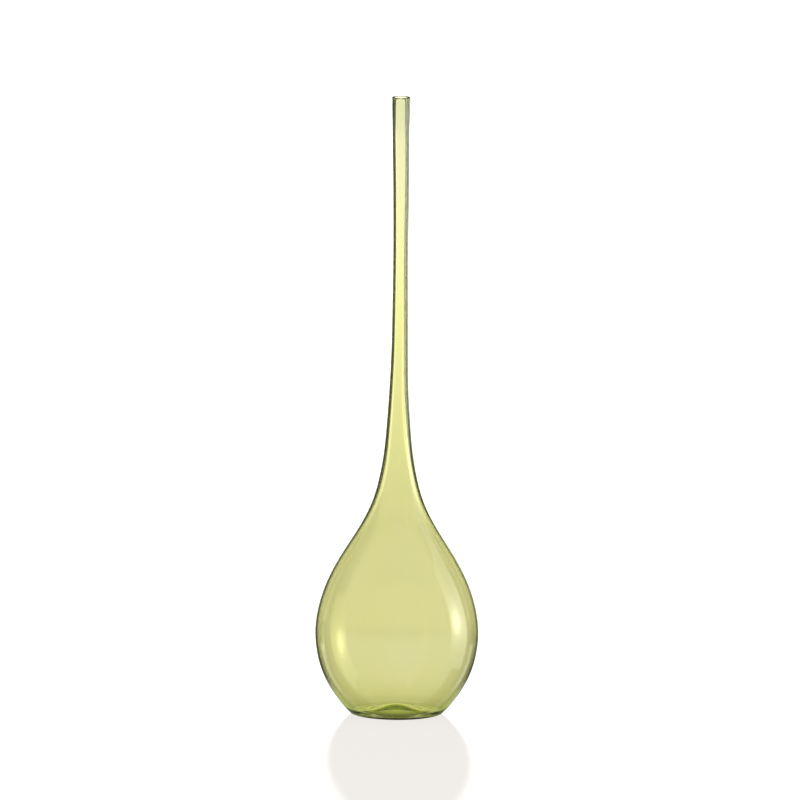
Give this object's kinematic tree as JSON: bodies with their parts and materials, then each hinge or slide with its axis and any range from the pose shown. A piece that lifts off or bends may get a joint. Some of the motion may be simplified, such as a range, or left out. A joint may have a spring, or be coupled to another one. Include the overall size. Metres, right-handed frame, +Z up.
{
  "type": "bubble glass vase",
  "caption": "Free-blown glass vase with a bubble-shaped body that draws up into a long, slender neck with a small flared lip, over a pushed-up base.",
  "frame": {"origin": "centre of the contact ring, on the surface that the vase stands on", "axes": "+Z up along the neck; the vase is round about +Z, so +X and +Y are any two square directions on the table"},
  "size_m": [0.1318, 0.1318, 0.5],
  "materials": {
    "glass": "clear yellow-green blown glass, fire-polished, deeper green where it is thick"
  },
  "bodies": {
    "root": {"glass_vessel": "glass"}
  },
  "joints": []
}
